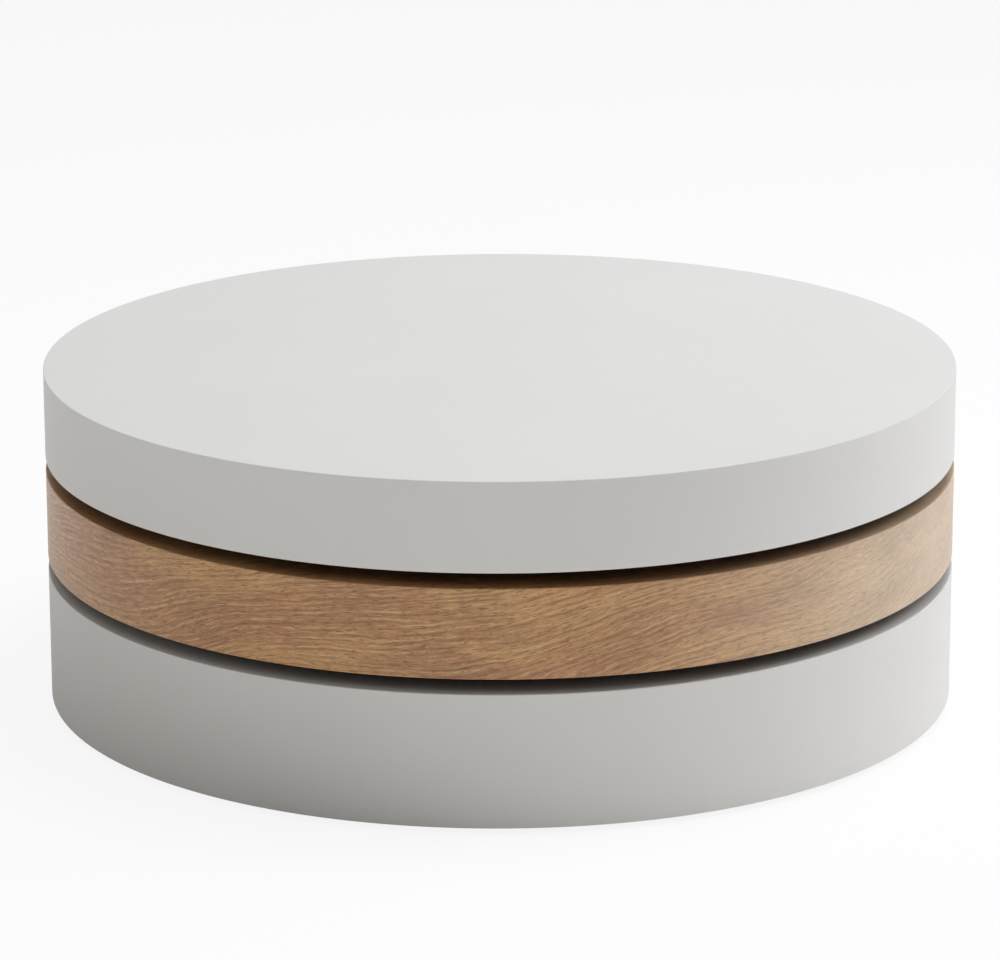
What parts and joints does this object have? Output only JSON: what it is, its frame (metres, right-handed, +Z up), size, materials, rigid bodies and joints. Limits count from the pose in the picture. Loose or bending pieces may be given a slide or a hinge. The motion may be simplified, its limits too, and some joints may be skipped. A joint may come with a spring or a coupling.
{
  "type": "swivel coffee table",
  "caption": "Round low coffee table of stacked hollow drums, white, oak and white, whose upper drums swing out round an off-centre pivot bolt on caged roller races.",
  "frame": {"origin": "on the floor, under the common axis of the three closed drums", "axes": "+Z up; +Y from the drums' axis towards the pivot bolt, which is the back of the table; +X to the right seen from the front"},
  "size_m": [0.8, 0.8, 0.3],
  "materials": {
    "white_lacquer": "satin warm-white lacquer on fibreboard",
    "oak_veneer": "matt light-brown oak veneer, grain lying along the rim",
    "black_board": "black-faced fibreboard",
    "raw_board": "bare fibreboard",
    "zinc_plated_steel": "bright zinc plate",
    "bright_steel": "ground steel",
    "grey_nylon": "dark grey nylon",
    "white_nylon": "natural nylon"
  },
  "bodies": {
    "base": {"base_rim_band": "white_lacquer", "base_lid": "white_lacquer", "base_floor": "black_board", "base_long_ribs": "raw_board", "base_cross_ribs": "raw_board", "base_pivot_block": "raw_board", "base_feet": "grey_nylon", "pivot_bolt": "zinc_plated_steel", "pivot_nut": "zinc_plated_steel", "pivot_washers": "zinc_plated_steel", "base_upper_race_plate": "zinc_plated_steel", "lower_rollers": "bright_steel", "lower_roller_cage": "white_nylon"},
    "middle": {"middle_rim_band": "oak_veneer", "middle_lid": "oak_veneer", "middle_floor": "black_board", "middle_long_ribs": "raw_board", "middle_cross_ribs": "raw_board", "middle_pivot_block": "raw_board", "middle_glides": "grey_nylon", "middle_pivot_tube": "bright_steel", "middle_lower_race_plate": "zinc_plated_steel", "middle_upper_race_plate": "zinc_plated_steel", "upper_rollers": "bright_steel", "upper_roller_cage": "white_nylon"},
    "top": {"top_rim_band": "white_lacquer", "top_lid": "white_lacquer", "top_floor": "black_board", "top_long_ribs": "raw_board", "top_cross_ribs": "raw_board", "top_pivot_block": "raw_board", "top_glides": "grey_nylon", "top_pivot_bush": "white_nylon", "top_lower_race_plate": "zinc_plated_steel"}
  },
  "joints": [
    {"name": "middle_swivel", "type": "hinge", "parent": "base", "child": "middle", "pos_m": [0, 0.24, 0.1265], "axis": [0, 0, 1], "continuous": true},
    {"name": "top_swivel", "type": "hinge", "parent": "middle", "child": "top", "pos_m": [0, 0.24, 0.2165], "axis": [0, 0, 1], "continuous": true}
  ]
}
